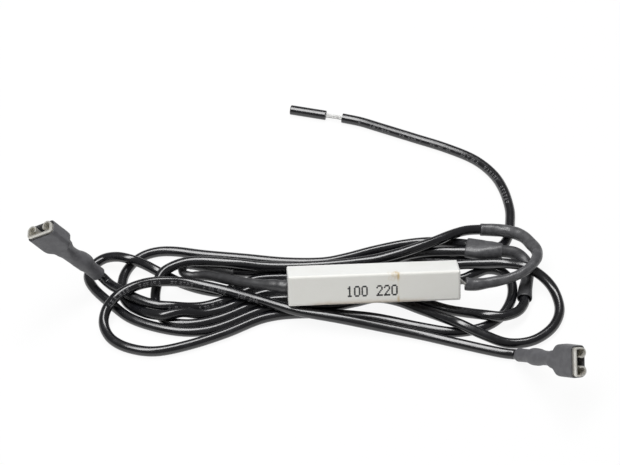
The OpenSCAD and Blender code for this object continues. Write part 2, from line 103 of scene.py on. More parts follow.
# Sizes and places are in millimetres in the part's frame, and angles are in degrees.
WIRE_DIAMETER = 2.95
LEAD_DIAMETER = 0.9
LEAD_START, LEAD_KNOT = 17.4, 21.0
SLEEVE_WALL = 0.35
SLEEVE_LEVELS = 1
FLOOR_LEVEL = -9.28
CASE_LENGTH, CASE_DEPTH = 49.0, 10.0
CASE_LEAN = 27.0

JUNCTION_PLACE = Vector((32.1, 16.04, -4.34))
JUNCTION_HEADING = Vector((4.5, -1.2, 0.2))
JUNCTION_PITCH = WIRE_DIAMETER
# The boot starts this share of the heading behind the junction.
BOOT_SHARE = 0.85

RIGHT_PLACE, RIGHT_ANGLES = Vector((39.6, -23.8, -6.6)), (66.0, -35.3, -52.7)
LEFT_PLACE, LEFT_ANGLES = Vector((-78.4, 10.8, -3.2)), (-112.2, -55.9, 196.5)
GRIP_END, STRAIGHT_IN = 10.0, 2.0

# A Bezier handle is the chord between the neighbouring points over these, which gives smooth_line's curve.
KNOT_PULL, END_PULL = 6, 3
LINE_STEPS = 12


class Stiffness(Enum):
    """How a wire or lead bends."""

    LIMP = "limp"
    MEDIUM = "medium"
    STIFF = "stiff"


class FarEnd(Enum):
    """What a wire ends in."""

    FITTING = "fitting"
    CONNECTOR = "connector"
    BARE = "bare"


def side_of(heading: Vector) -> Vector:
    """Gives the level unit vector to the left of a heading."""
    return Vector((0.0, 0.0, 1.0)).cross(heading).normalized()


def heading_of(angles: Point) -> Vector:
    """Gives the unit vector from the wire to a receptacle's mouth, for its roll, rise and turn."""
    rise, turn = math.radians(angles[1]), math.radians(angles[2])
    return Vector((math.cos(rise) * math.cos(turn), math.cos(rise) * math.sin(turn), -math.sin(rise)))


def receptacle_matrix(place: Vector, angles: Point) -> Matrix:
    """Gives the transform from a receptacle's own frame to the part's frame, with X towards the mouth."""
    turns = [Matrix.Rotation(math.radians(a), 4, axis) for a, axis in zip(angles, "XYZ")]
    return Matrix.Translation(place) @ turns[2] @ turns[1] @ turns[0]


JUNCTION_SIDE = side_of(JUNCTION_HEADING)

RIGHT_ROUTE: list[Point] = [
    (24.5, 0, 0), (26.2, -0.9, -0.8), (29, -1.1, -1.1), (33.3, -0.5, -1.1),
    (37.7, 0.3, -0.9), (41, 1.3, -0.6), (44, 3.2, -0.5), (46.3, 5.8, -0.7), (47.9, 9.2, -1.3),
    (48.1, 12.7, -2.1), (47, 16.1, -2.9), (45.4, 19.6, -3.6), (43, 22, -4.1), (40.2, 23.3, -4.4),
    (37.3, 23.9, -4.5), (33, 24.1, -4.3),
    (28.5, 23, -3.4), (24, 20.5, -2.4), (18.5, 17.5, -2), (12.5, 15, -2), (6, 13.7, -3),
    (-2, 13.2, -4.5), (-14, 12.5, -4.9), (-29, 12.8, -4.9), (-39, 13.7, -3.9), (-47.5, 15, -3.8),
    (-53, 15.1, -4), (-57.5, 13.8, -4.6), (-60.5, 11.2, -5), (-62, 7.5, -7.1), (-62.2, 2.5, -7.8),
    (-61.3, -1.5, -7.8), (-59, -4.5, -7.8), (-55, -5.8, -7.8), (-49.5, -5.8, -7.8), (-42.5, -3.7, -7.8),
    (-32, 1.4, -7.8), (-24.5, 2.4, -7.8), (-12, 1.9, -7.8), (-5, 3.2, -7.8), (1, 4.5, -7.8),
    (8, 3, -7.8), (14.5, -0.8, -7.8), (20.5, -4, -7.7), (26, -6.7, -6.6), (31, -9.4, -4.95),
    (36, -10.3, -4.9), (40.5, -8, -5.8), (42.8, -4.4, -6.7), (43.4, -1.8, -7.1), (44, 1.8, -7.2),
    (45, 6, -7.2), (45.6, 10.6, -6.9), (44.6, 13.3, -6.2), (42, 15, -5.2), (37.3, 15.42, -4.5),
]
RIGHT_FERRULE, RIGHT_WIRE, RIGHT_SLEEVE_END = 11, 13, 15

LEFT_ROUTE: list[Point] = [
    (-24.5, 0, 0), (-24.9, 0.05, 0), (-28, 0.8, -0.2), (-31.5, 2, -1),
    (-36.5, 4.5, -2.4), (-42, 8, -4.4), (-47, 11.3, -6.2), (-49.8, 12.5, -7.2), (-52, 12.9, -7.5),
    (-53.7, 13.8, -7.6), (-54.4, 15.3, -7.6), (-53.7, 16.9, -7.6), (-52, 17.6, -7.35), (-49, 17, -7.25),
    (-44.5, 15.2, -7.25), (-39, 13.6, -7.28), (-31.5, 13.75, -7.8), (-24.5, 14.1, -7.8), (-12, 13.6, -7.8),
    (0, 16.8, -7.8), (9, 17.4, -7.8), (18, 15.7, -7.8), (25.5, 15, -7.8), (31.5, 16.4, -7.8),
    (36.3, 18.9, -7.8), (39.8, 21.2, -7.8), (41.6, 25, -7.8), (42.6, 30.3, -7.8), (43, 36, -7.8),
    (42, 44, -7.8), (39.5, 51, -7.8), (34.5, 57.5, -7.8), (26.5, 63, -7.8), (17, 68, -7.8), (7, 73.2, -7.8),
    (1.5, 76, -7.8), (-4, 78, -7.8),
]
LEFT_FERRULE, LEFT_WIRE, LEFT_SLEEVE_END = 12, 13, 15
LEFT_SLEEVE_GAP, LEFT_SLEEVE_SQUARE = 0.1, 1.4
TAIL_HEADING = Vector((-0.96, 0.28, 0.0))
BARE_LENGTH, SLUG_LENGTH, STRAND_DIAMETER = 5.2, 11.1, 0.44

RIGHT_TERMINAL_ROUTE: list[Point] = [
    tuple(JUNCTION_PLACE + JUNCTION_SIDE * JUNCTION_PITCH / 2),
    (28.5, 18.5, -4.5), (24, 20.9, -6), (18, 23, -7.5), (10.5, 22.6, -7.8), (1.5, 20.5, -7.8),
    (-7, 17.9, -7.8), (-14, 16.6, -7.8), (-24.5, 17.2, -7.8), (-36, 19.3, -7.8), (-47.5, 21.3, -7.8),
    (-56, 23.2, -7.8), (-61.5, 23.3, -7.8), (-66, 21.5, -7.8), (-69.3, 18, -7.8), (-71.3, 13.5, -7.8),
    (-71.8, 8, -7.8), (-70.6, 3.8, -7.8), (-68, 0.3, -7.2), (-64, -3.2, -5.8), (-59.5, -4.9, -4.85),
    (-54.5, -3.5, -5.4), (-49, -2.7, -7.2), (-42.5, -0.5, -7.8), (-32, 4.6, -7.8), (-24.5, 5.3, -7.8),
    (-12, 4.8, -7.8), (-5, 6.1, -7.8), (1, 7.4, -7.8), (12, 6.8, -7.8), (24.5, 7.3, -7.8),
    (29.8, 9.4, -7.8), (34, 11.2, -7.8), (38, 10, -7.8), (40.3, 6, -7.8), (40.2, 0.8, -7.8),
    (38.2, -4.5, -7.8), (34.8, -9, -7.8), (29.5, -12, -7.8), (22, -13, -7.8), (12.5, -10.5, -7.8),
    (0, -6.3, -7.8), (-12, -4.2, -7.8), (-23, -3.5, -7.8), (-32, -4.9, -7.8), (-42.5, -10, -7.8),
    (-53, -14, -7.8), (-62.5, -16, -7.8), (-70, -14.3, -7.8), (-75, -10.5, -7.7), (-77, -5.3, -7.1),
    (-76, -1, -5.2), (-73, 1.2, -2.6), (-69, 3.6, -2), (-64, 6, -2.6), (-58, 7, -3.4),
    (-51.5, 6.8, -4.5), (-42, 3.9, -4.9), (-32, -0.5, -4.9), (-22, -5, -5), (-10, -8.2, -5.5),
    (1.5, -10.8, -6.8), (12.5, -13.6, -7.7), (24, -17.8, -7.8), (31.7, -20.6, -7.8), (35.8, -21.9, -7.8),
    tuple(RIGHT_PLACE - heading_of(RIGHT_ANGLES) * STRAIGHT_IN), tuple(RIGHT_PLACE),
    tuple(RIGHT_PLACE + heading_of(RIGHT_ANGLES) * GRIP_END),
]

LEFT_TERMINAL_ROUTE: list[Point] = [
    tuple(JUNCTION_PLACE - JUNCTION_SIDE * JUNCTION_PITCH / 2),
    (28.5, 15.55, -4.5), (22.5, 16.2, -4.9), (16, 16.3, -4.9), (10.5, 15.5, -5), (5, 14.3, -6.3),
    (0, 13.5, -7.6), (-12, 10.7, -7.8), (-24.5, 11.1, -7.8), (-32, 10.8, -7.8), (-37.2, 8.8, -7.8),
    (-42.5, 6.3, -7.8), (-47.5, 7, -7.8), (-54, 9.9, -7.8), (-60.5, 14.6, -7.7), (-65, 16.9, -6.4),
    (-69, 17.8, -4.9), (-73, 19.3, -5.1), (-77, 19.9, -6.4), (-80.3, 17.8, -7.5), (-81.4, 13.8, -7.8),
    (-79.5, 9, -7.8), (-75, 3.2, -7.8), (-69.6, -2.7, -7.8), (-62.5, -6.5, -7.8), (-55, -8.7, -7.8),
    (-48.5, -8.8, -7.8), (-42.5, -6.9, -7.8), (-32, -1.8, -7.8), (-24.5, -0.5, -7.8), (-12, -1, -7.8),
    (-5, 0.2, -7.8), (1, 1.6, -7.8), (7, 0, -7.8), (13, -4, -7.3), (18.5, -8.5, -5.9),
    (23.7, -12.7, -4.8), (30, -16, -6), (37, -18.2, -7.6), (44, -17.5, -7.8), (50, -13, -7.8),
    (53, -6.5, -7.8), (52.5, 0, -7.1), (49.8, 4.3, -5.4), (45, 7.4, -3.6), (39, 10, -4.3),
    (32, 10.8, -4.9), (24, 11, -5.3), (14.5, 10.7, -6.7), (0, 10.3, -7.7), (-12, 7.7, -7.8),
    (-24.5, 8.2, -7.8), (-32, 7.8, -7.8), (-42.5, 2.7, -7.8), (-48, 0.7, -7.7), (-52.5, -0.3, -6.9),
    (-57, -1.2, -5.3), (-62, -0.7, -4.9), (-67.5, 1.9, -4.75), (-71.5, 5.4, -4.8), (-74, 7.9, -5.75),
    (-75.8, 10.2, -6.2),
    tuple(LEFT_PLACE - heading_of(LEFT_ANGLES) * STRAIGHT_IN), tuple(LEFT_PLACE),
    tuple(LEFT_PLACE + heading_of(LEFT_ANGLES) * GRIP_END),
]

BOOT_ROUTE: list[Point] = [
    tuple(JUNCTION_PLACE - JUNCTION_HEADING * BOOT_SHARE), tuple(JUNCTION_PLACE),
    (35, 15.62, -4.42), (38.6, 15.3, -4.69),
]

# Stretches of the routes whose print shows.
RIGHT_PRINT, LEFT_PRINT, TAIL_PRINT = slice(51, 59), slice(53, 58), slice(28, 36)


def smooth_line(points: Sequence[Point], steps: int) -> list[Vector]:
    """Runs one smooth curve through route points.

    Args:
        points: Route points in millimetres.
        steps: Samples for each span.

    Returns:
        Points on the curve, with the route points among them.
    """
    knots = [Vector(p) for p in points]
    knots = [2 * knots[0] - knots[1], *knots, 2 * knots[-1] - knots[-2]]
    line: list[Vector] = []
    for a, b, c, d in zip(knots, knots[1:], knots[2:], knots[3:]):
        for k in range(steps):
            t = k / steps
            line.append(0.5 * (2 * b + (c - a) * t + (2 * a - 5 * b + 4 * c - d) * t * t
                               + (3 * b - a - 3 * c + d) * t ** 3))
    line.append(knots[-2])
    return line


def ease(values: Sequence[float], place: float) -> float:
    """Reads a list of sizes at a place between its entries, with soft changes.

    Args:
        values: One size for each route point.
        place: Number of route points passed, with a fraction.

    Returns:
        Size at that place.
    """
    low = min(int(place), len(values) - 1)
    high = min(low + 1, len(values) - 1)
    t = place - low
    t = t * t * (3 - 2 * t)
    return values[low] * (1 - t) + values[high] * t


class NodeBoard:
    """Builds the node tree of one procedural material."""

    def __init__(self, name: str) -> None:
        """Starts a material with an empty tree and a Principled shader.

        Args:
            name: Name of the material.
        """
        self.material = bpy.data.materials.new(name)
        self.material.use_nodes = True
        self.tree = self.material.node_tree
        self.tree.nodes.clear()
        self.output = self.add("ShaderNodeOutputMaterial")
        self.shader = self.add("ShaderNodeBsdfPrincipled")
        self.link(self.shader.outputs["BSDF"], self.output.inputs["Surface"])

    def add(self, kind: str, **settings: object) -> bpy.types.Node:
        """Adds a node.

        Args:
            kind: Blender's name of the node type.
            **settings: Properties to set on it.

        Returns:
            The new node.
        """
        node = self.tree.nodes.new(kind)
        for key, value in settings.items():
            setattr(node, key, value)
        return node

    def link(self, source: bpy.types.NodeSocket, target: bpy.types.NodeSocket) -> None:
        """Joins two sockets."""
        self.tree.links.new(source, target)

    def place(self, turn: float = 0.0) -> bpy.types.NodeSocket:
        """Adds object coordinates in millimetres, in a turned frame.

        Args:
            turn: Angle about the X axis, in degrees.

        Returns:
            Vector socket.
        """
        coords = self.add("ShaderNodeTexCoord")
        mapping = self.add("ShaderNodeMapping")
        mapping.inputs["Scale"].default_value = (1.0 / MM, 1.0 / MM, 1.0 / MM)
        mapping.inputs["Rotation"].default_value = (math.radians(turn), 0.0, 0.0)
        self.link(coords.outputs["Object"], mapping.inputs["Vector"])
        return mapping.outputs["Vector"]

    def noise(self, vector: bpy.types.NodeSocket, scale: float, detail: float = 3.0,
              roughness: float = 0.55) -> bpy.types.NodeSocket:
        """Adds a noise texture.

        Args:
            vector: Coordinates to read.
            scale: Size of the pattern.
            detail: Number of finer layers.
            roughness: Strength of the finer layers.

        Returns:
            Grey value socket, from 0 to 1.
        """
        node = self.add("ShaderNodeTexNoise")
        node.inputs["Scale"].default_value = scale
        node.inputs["Detail"].default_value = detail
        node.inputs["Roughness"].default_value = roughness
        self.link(vector, node.inputs["Vector"])
        return node.outputs["Fac"]

    def math(self, operation: str, a: object, b: object = 0.0) -> bpy.types.NodeSocket:
        """Adds a math node on two values or sockets.

        Args:
            operation: Blender's name of the operation.
            a: First value or socket.
            b: Second value or socket.

        Returns:
            Result socket.
        """
        node = self.add("ShaderNodeMath", operation=operation)
        for index, value in enumerate((a, b)):
            if isinstance(value, (int, float)):
                node.inputs[index].default_value = value
            else:
                self.link(value, node.inputs[index])
        return node.outputs[0]

    def times(self, first: bpy.types.NodeSocket, *others: object) -> bpy.types.NodeSocket:
        """Multiplies sockets and values in order.

        Args:
            first: First factor.
            *others: Further factors.

        Returns:
            Product socket.
        """
        for other in others:
            first = self.math("MULTIPLY", first, other)
        return first

    def span(self, value: bpy.types.NodeSocket, low: float, high: float,
             out_low: float = 0.0, out_high: float = 1.0) -> bpy.types.NodeSocket:
        """Maps a value from one range to another, with a soft step.

        Args:
            value: Socket to map.
            low: Start of its range.
            high: End of its range.
            out_low: Result at the start.
            out_high: Result at the end.

        Returns:
            Result socket.
        """
        node = self.add("ShaderNodeMapRange", interpolation_type="SMOOTHSTEP")
        limits = {"From Min": low, "From Max": high, "To Min": out_low, "To Max": out_high}
        for key, number in limits.items():
            node.inputs[key].default_value = number
        self.link(value, node.inputs["Value"])
        return node.outputs["Result"]

    def tint(self, share: bpy.types.NodeSocket, base: object, other: object) -> bpy.types.NodeSocket:
        """Mixes two colours.

        Args:
            share: Share of the second colour.
            base: First colour, as three numbers or a socket.
            other: Second colour, as three numbers or a socket.

        Returns:
            Colour socket.
        """
        node = self.add("ShaderNodeMix", data_type="RGBA")
        self.link(share, node.inputs["Factor"])
        for key, colour in (("A", base), ("B", other)):
            socket = next(s for s in node.inputs if s.name == key and s.type == "RGBA")
            if isinstance(colour, tuple):
                socket.default_value = (*colour, 1.0)
            else:
                self.link(colour, socket)
        return next(s for s in node.outputs if s.type == "RGBA")

    def bump(self, height: bpy.types.NodeSocket, depth: float, strength: float = 1.0) -> None:
        """Raises the surface by a height map.

        Args:
            height: Height socket, from 0 to 1.
            depth: Depth of the map in millimetres.
            strength: Share of the effect.
        """
        node = self.add("ShaderNodeBump")
        node.inputs["Strength"].default_value = strength
        node.inputs["Distance"].default_value = depth * MM
        self.link(height, node.inputs["Height"])
        self.link(node.outputs["Normal"], self.shader.inputs["Normal"])

    def paint(self, key: str, value: object) -> None:
        """Sets or links one input of the shader.

        Args:
            key: Name of the input.
            value: Value or socket.
        """
        socket = self.shader.inputs[key]
        if isinstance(value, bpy.types.NodeSocket):
            self.link(value, socket)
        else:
            socket.default_value = value


@dataclass(frozen=True)
class CeramicFinish:
    """Warm white unglazed ceramic, with handling marks and a scorch at the front edge.

    Places are in millimetres in the case's own frame. A span gives where an effect starts and where it is
    full. The fade gives where the scorch mark is full and where it ends.
    """

    name: str = "warm_white_ceramic"
    body: Point = (0.80, 0.807, 0.785)
    cloud: Point = (0.76, 0.76, 0.73)
    cream: Point = (0.79, 0.775, 0.715)
    scorch: Point = (0.53, 0.38, 0.15)
    brown: Point = (0.50, 0.38, 0.25)
    cloud_share: float = 0.55
    cream_share: float = 0.5
    ragged_depth: float = 5.0
    mark_place: Point = (5.9, -4.9, 4.0)
    mark_fade: Span = (0.8, 2.3)
    mark_share: float = 0.7
    front_span: Span = (-4.2, -4.95)
    streak_along: float = 6.8
    streak_span: Span = (0.5, 0.12)
    streak_wander: float = 0.07
    streak_top: Span = (1.9, 3.0)
    streak_foot: Span = (-1.9, -3.4)
    foot_band_along: float = -2.0
    foot_band_reach: Span = (19.0, 12.0)
    foot_band_span: Span = (-2.7, -4.3)
    foot_band_wander: float = 0.22
    foot_band_share: float = 0.5
    speck_share: float = 0.3
    rough: Span = (0.36, 0.5)
    relief: float = 0.06

    def build(self) -> bpy.types.Material:
        """Makes the material.

        Returns:
            Material on object coordinates turned into the case's own frame.
        """
        board = NodeBoard(self.name)
        place = board.place(CASE_LEAN)
        axes = board.add("ShaderNodeSeparateXYZ")
        board.link(place, axes.inputs[0])
        along, depth, rise = (axes.outputs[key] for key in "XYZ")
        grain = board.noise(place, scale=1.6, detail=4.0, roughness=0.6)
        uneven = board.math("SUBTRACT", board.noise(place, scale=0.7, detail=4.0), 0.5)
        ragged = board.times(uneven, self.ragged_depth)
        front = board.span(depth, *self.front_span)

        cloud = board.span(board.noise(place, scale=0.16), low=0.42, high=0.72)
        colour = board.tint(board.times(cloud, self.cloud_share), self.body, self.cloud)

        reach = board.add("ShaderNodeVectorMath", operation="DISTANCE")
        board.link(place, reach.inputs[0])
        reach.inputs[1].default_value = self.mark_place
        mark = board.span(board.math("ADD", reach.outputs["Value"], ragged), *self.mark_fade, 1.0, 0.0)
        mottle = board.span(board.noise(place, scale=1.7, detail=2.0), low=0.38, high=0.6, out_low=0.25)
        colour = board.tint(board.times(mark, mottle, self.mark_share), colour, self.scorch)
        colour = board.tint(board.times(front, self.cream_share), colour, self.cream)

        wander = board.math("ADD", along, board.times(ragged, self.streak_wander))
        aside = board.math("ABSOLUTE", board.math("SUBTRACT", wander, self.streak_along))
        ends = board.math("MAXIMUM", board.span(rise, *self.streak_top, out_low=0.1, out_high=0.75),
                          board.span(rise, *self.streak_foot, out_low=0.1, out_high=0.6))
        streak = board.times(board.span(aside, *self.streak_span), front, ends)
        colour = board.tint(streak, colour, self.scorch)

        # A brown band darkens the front face towards its foot, with a ragged top edge.
        low = board.span(board.math("ADD", rise, board.times(ragged, self.foot_band_wander)), *self.foot_band_span)
        off = board.math("ABSOLUTE", board.math("SUBTRACT", along, self.foot_band_along))
        foot_band = board.times(low, front, board.span(off, *self.foot_band_reach), self.foot_band_share)
        colour = board.tint(foot_band, colour, self.brown)
        specks = board.span(board.noise(place, scale=2.4, detail=1.0), low=0.74, high=0.79)
        colour = board.tint(board.times(specks, self.speck_share), colour, self.brown)

        board.paint("Base Color", colour)
        board.paint("Roughness", board.span(grain, 0.25, 0.75, *self.rough))
        board.paint("Specular IOR Level", 0.5)
        board.bump(grain, self.relief, strength=0.5)
        return board.material


@dataclass(frozen=True)
class CementFinish:
    """Coarse grey filling cement."""

    name: str = "filling_cement"
    body: Point = (0.60, 0.57, 0.51)
    grit: Point = (0.42, 0.39, 0.34)
    rough: float = 0.9
    relief: float = 0.25

    def build(self) -> bpy.types.Material:
        """Makes the material.

        Returns:
            Material on object coordinates.
        """
        board = NodeBoard(self.name)
        grain = board.noise(board.place(), scale=2.2, detail=5.0, roughness=0.65)
        board.paint("Base Color", board.tint(board.span(grain, 0.4, 0.7), self.body, self.grit))
        board.paint("Roughness", self.rough)
        board.bump(grain, self.relief)
        return board.material


@dataclass(frozen=True)
class VinylFinish:
    """Glossy black vinyl insulation with a light dusty film and rubbed stretches; the film's blue tint is
    painted shade for the wires' lower flanks.
    """

    name: str = "black_vinyl"
    body: Point = (0.006, 0.006, 0.0076)
    dust_and_blue_shade: Point = (0.0128, 0.0132, 0.0165)
    gloss: float = 0.19
    dulling: float = 0.08
    shine: float = 0.85
    relief: float = 0.006

    def build(self) -> bpy.types.Material:
        """Makes the material.

        Returns:
            Material on object coordinates.
        """
        board = NodeBoard(self.name)
        place = board.place()
        dusty_shaded_film = board.noise(place, scale=0.35, detail=4.0, roughness=0.6)
        grain = board.noise(place, scale=1.1, detail=2.0, roughness=0.5)
        # The dusty film's colour is real dust plus a blue tint that is painted shade, standing in for the
        # bluish lower flanks.
        board.paint("Base Color", board.tint(board.span(dusty_shaded_film, 0.45, 0.8), self.body, self.dust_and_blue_shade))
        board.paint("Roughness", board.span(dusty_shaded_film, 0.4, 0.8, self.gloss, self.gloss + self.dulling))
        board.paint("Specular IOR Level", self.shine)
        board.bump(grain, self.relief, strength=0.3)
        return board.material


@dataclass(frozen=True)
class ShrinkFinish:
    """Heat-shrink sleeve: satin polyolefin with shallow creases."""

    name: str
    body: Point
    pale: Point
    rough: float
    crease: float = 0.12
    shine: float = 0.5
    smoother: float = 0.06
    rougher: float = 0.08
    grain_share: float = 0.12

    def build(self) -> bpy.types.Material:
        """Makes the material.

        Returns:
            Material on object coordinates.
        """
        board = NodeBoard(self.name)
        place = board.place()
        folds = board.noise(place, scale=0.55, detail=3.0, roughness=0.5)
        grain = board.noise(place, scale=4.0, detail=3.0, roughness=0.6)
        height = board.math("ADD", folds, board.times(grain, self.grain_share))
        board.paint("Base Color", board.tint(board.span(folds, 0.35, 0.7), self.body, self.pale))
        rough = (self.rough - self.smoother, self.rough + self.rougher)
        board.paint("Roughness", board.span(grain, 0.3, 0.7, *rough))
        board.paint("Specular IOR Level", self.shine)
        board.bump(height, self.crease, strength=0.6)
        return board.material


@dataclass(frozen=True)
class MetalFinish:
    """Plated metal with a brushed grain and dull patches."""

    name: str
    body: Point
    worn: Point
    rough: float
    metallic: float = 0.8
    dulling: float = 0.18
    relief: float = 0.006

    def build(self) -> bpy.types.Material:
        """Makes the material.

        Returns:
            Material on object coordinates.
        """
        board = NodeBoard(self.name)
        place = board.place()
        patch = board.noise(place, scale=1.2, detail=4.0, roughness=0.6)
        grain = board.noise(place, scale=7.0, detail=2.0, roughness=0.5)
        board.paint("Base Color", board.tint(board.span(patch, 0.4, 0.7), self.body, self.worn))
        board.paint("Metallic", self.metallic)
        board.paint("Roughness", board.span(patch, 0.3, 0.75, self.rough, self.rough + self.dulling))
        board.bump(grain, self.relief, strength=0.4)
        return board.material


@dataclass(frozen=True)
class InkFinish:
    """Thin marking ink that lets a little of what lies under it through."""

    name: str = "marking_ink"
    body: Point = (0.022, 0.022, 0.024)
    thin: Point = (0.10, 0.10, 0.10)
    rough: float = 0.6

    def build(self) -> bpy.types.Material:
        """Makes the material.

        Returns:
            Material on object coordinates.
        """
        board = NodeBoard(self.name)
        wear = board.noise(board.place(), scale=3.0, detail=3.0, roughness=0.6)
        board.paint("Base Color", board.tint(board.span(wear, 0.45, 0.7), self.body, self.thin))
        board.paint("Roughness", self.rough)
        return board.material


class Finishes:
    """All the finishes of the part, made once."""

    def __init__(self) -> None:
        """Makes every material."""
        self.ceramic = CeramicFinish().build()
        self.cement = CementFinish().build()
        self.vinyl = VinylFinish().build()
        self.black_sleeve = ShrinkFinish("black_shrink", (0.020, 0.020, 0.022), (0.034, 0.034, 0.037),
                                         rough=0.44, crease=0.15, shine=1.0).build()
        # The junction cover's dark grey is partly painted shade, for the shade that the junction lies in.
        self.grey_sleeve = ShrinkFinish("shaded_grey_shrink", (0.045, 0.045, 0.048), (0.065, 0.065, 0.069),
                                        rough=0.39).build()
        self.mid_sleeve = ShrinkFinish("mid_shrink", (0.064, 0.064, 0.068), (0.098, 0.098, 0.103),
                                       rough=0.31).build()
        self.pale_sleeve = ShrinkFinish("pale_shrink", (0.097, 0.097, 0.104), (0.122, 0.122, 0.130),
                                        rough=0.52).build()
        self.tinned_brass = MetalFinish("tinned_brass", (0.88, 0.865, 0.815), (0.78, 0.75, 0.67),
                                        rough=0.32, metallic=0.72).build()
        self.tinned_lead = MetalFinish("tinned_lead", (0.72, 0.71, 0.69), (0.55, 0.54, 0.52),
                                       rough=0.30).build()
        self.strand = MetalFinish("tinned_strand", (0.62, 0.62, 0.61), (0.56, 0.555, 0.545),
                                  rough=0.5, metallic=0.4, relief=0.001).build()
        self.alloy = MetalFinish("resistance_alloy", (0.44, 0.41, 0.39), (0.33, 0.30, 0.28),
                                 rough=0.38).build()
        self.ink = InkFinish().build()
        self.worn_print = InkFinish("worn_print", (0.13, 0.13, 0.135), (0.03, 0.03, 0.032)).build()


def put_object(name: str, data: bpy.types.ID) -> bpy.types.Object:
    """Links a new object at the origin.

    Args:
        name: Name of the object.
        data: Its mesh, curve, camera or lamp.

    Returns:
        The new object.
    """
    item = bpy.data.objects.new(name, data)
    bpy.context.scene.collection.objects.link(item)
    return item


def finish_piece(piece: bpy.types.Object, material: bpy.types.Material,
                 node: str | None = None) -> bpy.types.Object:
    """Gives a new piece its material, its body and the solid that it replaces.

    Args:
        piece: Object at the origin.
        material: Finish of the whole piece.
        node: Solid that the piece replaces, if any.

    Returns:
        The same object.
    """
    piece.data.materials.clear()
    piece.data.materials.append(material)
    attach(piece, BODY)
    if node:
        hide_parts(node)
    return piece


def mesh_piece(name: str, bm: bmesh.types.BMesh) -> bpy.types.Object:
    """Turns a bmesh in metres into an object with smooth faces.

    Args:
        name: Name of the piece.
        bm: Finished mesh, which is freed.

    Returns:
        Linked object at the origin.
    """
    mesh = bpy.data.meshes.new(name)
    for face in bm.faces:
        face.smooth = True
    bm.to_mesh(mesh)
    bm.free()
    return put_object(name, mesh)


def add_ring(bm: bmesh.types.BMesh, seat: Matrix, wide: float, tall: float, corner: float,
             sides: int) -> list[bmesh.types.BMEdge]:
    """Adds one ring: a circle whose quarters are moved apart to a round-cornered section.

    Args:
        bm: Mesh that the ring joins.
        seat: Frame of the ring in millimetres, with Z along the tube.
        wide: Half width along the frame's X.
        tall: Half height along the frame's Y.
        corner: Radius of the corners.
        sides: Points of the ring, in whole quarters.

    Returns:
        Edges of the ring, in metres.
    """
    first = len(bm.edges)
    corner = min(corner, wide, tall)
    verts = bmesh.ops.create_circle(bm, segments=sides, radius=corner,
                                    matrix=Matrix.Rotation(math.pi / sides, 4, "Z"))["verts"]
    for axis, reach in enumerate((wide - corner, tall - corner)):
        for sign in (1.0, -1.0):
            step = Vector((0.0, 0.0, 0.0))
            step[axis] = sign * reach
            bmesh.ops.translate(bm, verts=[vert for vert in verts if vert.co[axis] * sign > 0], vec=step)
    bmesh.ops.transform(bm, matrix=Matrix.Scale(MM, 4) @ seat, verts=verts)
    bm.edges.ensure_lookup_table()
    return bm.edges[first:]


def skin_rings(name: str, bm: bmesh.types.BMesh,
               rings: Sequence[list[bmesh.types.BMEdge]]) -> bpy.types.Object:
    """Bridges a row of rings to a tube with a wall on its inside and round rims.

    Args:
        name: Name of the piece.
        bm: Mesh that holds the rings.
        rings: Edges of each ring, in order.

    Returns:
        Object with its faces outwards.
    """
    for near, far in zip(rings, rings[1:]):
        bmesh.ops.bridge_loops(bm, edges=[*near, *far])
    bmesh.ops.recalc_face_normals(bm, faces=bm.faces)
    piece = mesh_piece(name, bm)
    wall = piece.modifiers.new("wall", "SOLIDIFY")
    wall.thickness = SLEEVE_WALL * MM
    wall.offset = -1.0
    soft = piece.modifiers.new("soft", "SUBSURF")
    soft.levels = soft.render_levels = SLEEVE_LEVELS
    return piece


@dataclass
class Cord:
    """One insulated wire or bare lead along its route."""

    name: str
    route: Sequence[Point]
    diameter: float
    node: str
    stiffness: Stiffness = Stiffness.MEDIUM
    piece: bpy.types.Object | None = None

    def build(self, material: bpy.types.Material, slot: str) -> bpy.types.Object:
        """Makes the cord as one smooth curve.

        Args:
            material: Finish of the cord.
            slot: Material slot of the record; not used.

        Returns:
            Curve object that replaces the cord's solid.
        """
        curve = bpy.data.curves.new(self.name, "CURVE")
        curve.dimensions = "3D"
        curve.bevel_depth = self.diameter / 2 * MM
        curve.bevel_resolution = 5
        curve.resolution_u = 8
        curve.use_fill_caps = True
        knots = [Vector(p) * MM for p in self.route]
        last = len(knots) - 1
        spline = curve.splines.new("BEZIER")
        spline.bezier_points.add(last)
        for index, (knot, point) in enumerate(zip(knots, spline.bezier_points)):
            chord = knots[min(index + 1, last)] - knots[max(index - 1, 0)]
            pull = chord / (END_PULL if index in (0, last) else KNOT_PULL)
            point.handle_left_type = point.handle_right_type = "FREE"
            point.co, point.handle_left, point.handle_right = knot, knot - pull, knot + pull
        self.piece = finish_piece(put_object(self.name, curve), material, self.node)
        return self.piece

    def length(self) -> float:
        """Measures the cord along its curve, in metres."""
        line = smooth_line(self.route, LINE_STEPS)
        return sum((b - a).length for a, b in zip(line, line[1:])) * MM

    def declare(self, far_end: FarEnd, pieces: Sequence[bpy.types.Object]) -> None:
        """Args:
            far_end: What it ends in; not used.
            pieces: Separate pieces on it; not used.
        """


